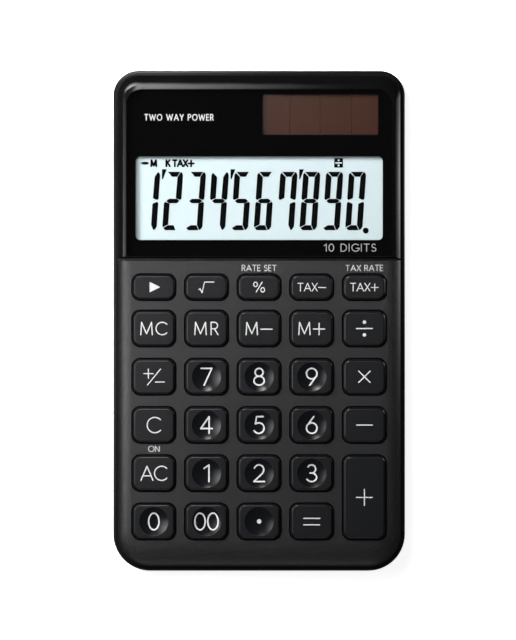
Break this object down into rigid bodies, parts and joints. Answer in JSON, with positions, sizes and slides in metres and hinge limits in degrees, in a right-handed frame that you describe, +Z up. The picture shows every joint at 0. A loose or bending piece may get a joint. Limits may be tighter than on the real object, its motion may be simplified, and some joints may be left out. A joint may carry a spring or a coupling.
{
  "type": "pocket calculator",
  "caption": "Slim flat pocket calculator with a glossy display panel, a solar window, a segment display and rounded press keys.",
  "frame": {"origin": "middle of the case, level with the soles of the rubber feet", "axes": "+X to the right across the keys, +Y towards the display end, +Z up through the key tops"},
  "size_m": [0.07, 0.12, 0.009],
  "materials": {
    "rear_plastic": "fine satin black",
    "deck_plastic": "fine-grained satin charcoal",
    "bezel_plastic": "polished piano black",
    "lens_acrylic": "clear acrylic, printed black behind",
    "mask_ink": "black film",
    "film": "grey-green polarising film",
    "display_glass": "polished",
    "frame_plastic": "moulded",
    "zebra_rubber": "layered conductive rubber",
    "solar_glass": "amorphous silicon on glass",
    "foam": "closed-cell foam",
    "wire": "insulated lead",
    "cell_steel": "nickel-plated can",
    "contact_metal": "plated spring strip",
    "board_laminate": "green solder mask",
    "epoxy": "cured epoxy",
    "ceramic": "ceramic with tinned ends",
    "resistor_body": "thick film with tinned ends",
    "screw_steel": "zinc-plated",
    "foot_rubber": "soft",
    "mat_rubber": "silicone",
    "pill_carbon": "carbon-filled",
    "label_foil": "blank silver sticker",
    "key_plastic": "satin black with light legends"
  },
  "bodies": {
    "case": {"rear_cover": "rear_plastic", "front_case": "deck_plastic", "display_bezel": "bezel_plastic", "display_lens": "lens_acrylic", "lens_mask": "mask_ink", "lcd_front_polariser": "film", "lcd_front_glass": "display_glass", "lcd_rear_glass": "display_glass", "lcd_rear_polariser": "film", "lcd_frame": "frame_plastic", "zebra_strip": "zebra_rubber", "solar_cell": "solar_glass", "solar_pad": "foam", "solar_wires": "wire", "button_cell": "cell_steel", "battery_holder": "frame_plastic", "cell_contact_negative": "contact_metal", "cell_contact_positive": "contact_metal", "circuit_board": "board_laminate", "chip_blob": "epoxy", "capacitors": "ceramic", "chip_resistors": "resistor_body", "key_mat": "mat_rubber", "contact_pills": "pill_carbon", "board_screws": "screw_steel", "case_screws": "screw_steel", "rubber_feet": "foot_rubber", "rear_label": "label_foil"},
    "key_backspace": {"key_backspace": "key_plastic"},
    "key_square_root": {"key_square_root": "key_plastic"},
    "key_percent": {"key_percent": "key_plastic"},
    "key_tax_minus": {"key_tax_minus": "key_plastic"},
    "key_tax_plus": {"key_tax_plus": "key_plastic"},
    "key_memory_clear": {"key_memory_clear": "key_plastic"},
    "key_memory_recall": {"key_memory_recall": "key_plastic"},
    "key_memory_minus": {"key_memory_minus": "key_plastic"},
    "key_memory_plus": {"key_memory_plus": "key_plastic"},
    "key_divide": {"key_divide": "key_plastic"},
    "key_sign_change": {"key_sign_change": "key_plastic"},
    "key_7": {"key_7": "key_plastic"},
    "key_8": {"key_8": "key_plastic"},
    "key_9": {"key_9": "key_plastic"},
    "key_multiply": {"key_multiply": "key_plastic"},
    "key_clear": {"key_clear": "key_plastic"},
    "key_4": {"key_4": "key_plastic"},
    "key_5": {"key_5": "key_plastic"},
    "key_6": {"key_6": "key_plastic"},
    "key_minus": {"key_minus": "key_plastic"},
    "key_all_clear": {"key_all_clear": "key_plastic"},
    "key_1": {"key_1": "key_plastic"},
    "key_2": {"key_2": "key_plastic"},
    "key_3": {"key_3": "key_plastic"},
    "key_plus": {"key_plus": "key_plastic"},
    "key_0": {"key_0": "key_plastic"},
    "key_00": {"key_00": "key_plastic"},
    "key_point": {"key_point": "key_plastic"},
    "key_equals": {"key_equals": "key_plastic"},
    "battery_cap": {"battery_cap": "rear_plastic"}
  },
  "joints": [
    {"name": "key_backspace_press", "type": "slide", "parent": "case", "child": "key_backspace", "axis": [0, 0, -1], "range_m": [0, 0.001], "stiffness_N_per_m": 500, "springref_m": -0.0002, "deforming": ["key_mat", "contact_pills"]},
    {"name": "key_square_root_press", "type": "slide", "parent": "case", "child": "key_square_root", "axis": [0, 0, -1], "range_m": [0, 0.001], "stiffness_N_per_m": 500, "springref_m": -0.0002, "deforming": ["key_mat", "contact_pills"]},
    {"name": "key_percent_press", "type": "slide", "parent": "case", "child": "key_percent", "axis": [0, 0, -1], "range_m": [0, 0.001], "stiffness_N_per_m": 500, "springref_m": -0.0002, "deforming": ["key_mat", "contact_pills"]},
    {"name": "key_tax_minus_press", "type": "slide", "parent": "case", "child": "key_tax_minus", "axis": [0, 0, -1], "range_m": [0, 0.001], "stiffness_N_per_m": 500, "springref_m": -0.0002, "deforming": ["key_mat", "contact_pills"]},
    {"name": "key_tax_plus_press", "type": "slide", "parent": "case", "child": "key_tax_plus", "axis": [0, 0, -1], "range_m": [0, 0.001], "stiffness_N_per_m": 500, "springref_m": -0.0002, "deforming": ["key_mat", "contact_pills"]},
    {"name": "key_memory_clear_press", "type": "slide", "parent": "case", "child": "key_memory_clear", "axis": [0, 0, -1], "range_m": [0, 0.001], "stiffness_N_per_m": 500, "springref_m": -0.0002, "deforming": ["key_mat", "contact_pills"]},
    {"name": "key_memory_recall_press", "type": "slide", "parent": "case", "child": "key_memory_recall", "axis": [0, 0, -1], "range_m": [0, 0.001], "stiffness_N_per_m": 500, "springref_m": -0.0002, "deforming": ["key_mat", "contact_pills"]},
    {"name": "key_memory_minus_press", "type": "slide", "parent": "case", "child": "key_memory_minus", "axis": [0, 0, -1], "range_m": [0, 0.001], "stiffness_N_per_m": 500, "springref_m": -0.0002, "deforming": ["key_mat", "contact_pills"]},
    {"name": "key_memory_plus_press", "type": "slide", "parent": "case", "child": "key_memory_plus", "axis": [0, 0, -1], "range_m": [0, 0.001], "stiffness_N_per_m": 500, "springref_m": -0.0002, "deforming": ["key_mat", "contact_pills"]},
    {"name": "key_divide_press", "type": "slide", "parent": "case", "child": "key_divide", "axis": [0, 0, -1], "range_m": [0, 0.001], "stiffness_N_per_m": 500, "springref_m": -0.0002, "deforming": ["key_mat", "contact_pills"]},
    {"name": "key_sign_change_press", "type": "slide", "parent": "case", "child": "key_sign_change", "axis": [0, 0, -1], "range_m": [0, 0.001], "stiffness_N_per_m": 500, "springref_m": -0.0002, "deforming": ["key_mat", "contact_pills"]},
    {"name": "key_7_press", "type": "slide", "parent": "case", "child": "key_7", "axis": [0, 0, -1], "range_m": [0, 0.001], "stiffness_N_per_m": 500, "springref_m": -0.0002, "deforming": ["key_mat", "contact_pills"]},
    {"name": "key_8_press", "type": "slide", "parent": "case", "child": "key_8", "axis": [0, 0, -1], "range_m": [0, 0.001], "stiffness_N_per_m": 500, "springref_m": -0.0002, "deforming": ["key_mat", "contact_pills"]},
    {"name": "key_9_press", "type": "slide", "parent": "case", "child": "key_9", "axis": [0, 0, -1], "range_m": [0, 0.001], "stiffness_N_per_m": 500, "springref_m": -0.0002, "deforming": ["key_mat", "contact_pills"]},
    {"name": "key_multiply_press", "type": "slide", "parent": "case", "child": "key_multiply", "axis": [0, 0, -1], "range_m": [0, 0.001], "stiffness_N_per_m": 500, "springref_m": -0.0002, "deforming": ["key_mat", "contact_pills"]},
    {"name": "key_clear_press", "type": "slide", "parent": "case", "child": "key_clear", "axis": [0, 0, -1], "range_m": [0, 0.001], "stiffness_N_per_m": 500, "springref_m": -0.0002, "deforming": ["key_mat", "contact_pills"]},
    {"name": "key_4_press", "type": "slide", "parent": "case", "child": "key_4", "axis": [0, 0, -1], "range_m": [0, 0.001], "stiffness_N_per_m": 500, "springref_m": -0.0002, "deforming": ["key_mat", "contact_pills"]},
    {"name": "key_5_press", "type": "slide", "parent": "case", "child": "key_5", "axis": [0, 0, -1], "range_m": [0, 0.001], "stiffness_N_per_m": 500, "springref_m": -0.0002, "deforming": ["key_mat", "contact_pills"]},
    {"name": "key_6_press", "type": "slide", "parent": "case", "child": "key_6", "axis": [0, 0, -1], "range_m": [0, 0.001], "stiffness_N_per_m": 500, "springref_m": -0.0002, "deforming": ["key_mat", "contact_pills"]},
    {"name": "key_minus_press", "type": "slide", "parent": "case", "child": "key_minus", "axis": [0, 0, -1], "range_m": [0, 0.001], "stiffness_N_per_m": 500, "springref_m": -0.0002, "deforming": ["key_mat", "contact_pills"]},
    {"name": "key_all_clear_press", "type": "slide", "parent": "case", "child": "key_all_clear", "axis": [0, 0, -1], "range_m": [0, 0.001], "stiffness_N_per_m": 500, "springref_m": -0.0002, "deforming": ["key_mat", "contact_pills"]},
    {"name": "key_1_press", "type": "slide", "parent": "case", "child": "key_1", "axis": [0, 0, -1], "range_m": [0, 0.001], "stiffness_N_per_m": 500, "springref_m": -0.0002, "deforming": ["key_mat", "contact_pills"]},
    {"name": "key_2_press", "type": "slide", "parent": "case", "child": "key_2", "axis": [0, 0, -1], "range_m": [0, 0.001], "stiffness_N_per_m": 500, "springref_m": -0.0002, "deforming": ["key_mat", "contact_pills"]},
    {"name": "key_3_press", "type": "slide", "parent": "case", "child": "key_3", "axis": [0, 0, -1], "range_m": [0, 0.001], "stiffness_N_per_m": 500, "springref_m": -0.0002, "deforming": ["key_mat", "contact_pills"]},
    {"name": "key_plus_press", "type": "slide", "parent": "case", "child": "key_plus", "axis": [0, 0, -1], "range_m": [0, 0.001], "stiffness_N_per_m": 500, "springref_m": -0.0002, "deforming": ["key_mat", "contact_pills"]},
    {"name": "key_0_press", "type": "slide", "parent": "case", "child": "key_0", "axis": [0, 0, -1], "range_m": [0, 0.001], "stiffness_N_per_m": 500, "springref_m": -0.0002, "deforming": ["key_mat", "contact_pills"]},
    {"name": "key_00_press", "type": "slide", "parent": "case", "child": "key_00", "axis": [0, 0, -1], "range_m": [0, 0.001], "stiffness_N_per_m": 500, "springref_m": -0.0002, "deforming": ["key_mat", "contact_pills"]},
    {"name": "key_point_press", "type": "slide", "parent": "case", "child": "key_point", "axis": [0, 0, -1], "range_m": [0, 0.001], "stiffness_N_per_m": 500, "springref_m": -0.0002, "deforming": ["key_mat", "contact_pills"]},
    {"name": "key_equals_press", "type": "slide", "parent": "case", "child": "key_equals", "axis": [0, 0, -1], "range_m": [0, 0.001], "stiffness_N_per_m": 500, "springref_m": -0.0002, "deforming": ["key_mat", "contact_pills"]},
    {"name": "battery_cap_turn", "type": "hinge", "parent": "case", "child": "battery_cap", "pos_m": [-0.0165, 0.0496, 0.0005], "axis": [0, 0, -1], "range_deg": [0, 45]}
  ]
}
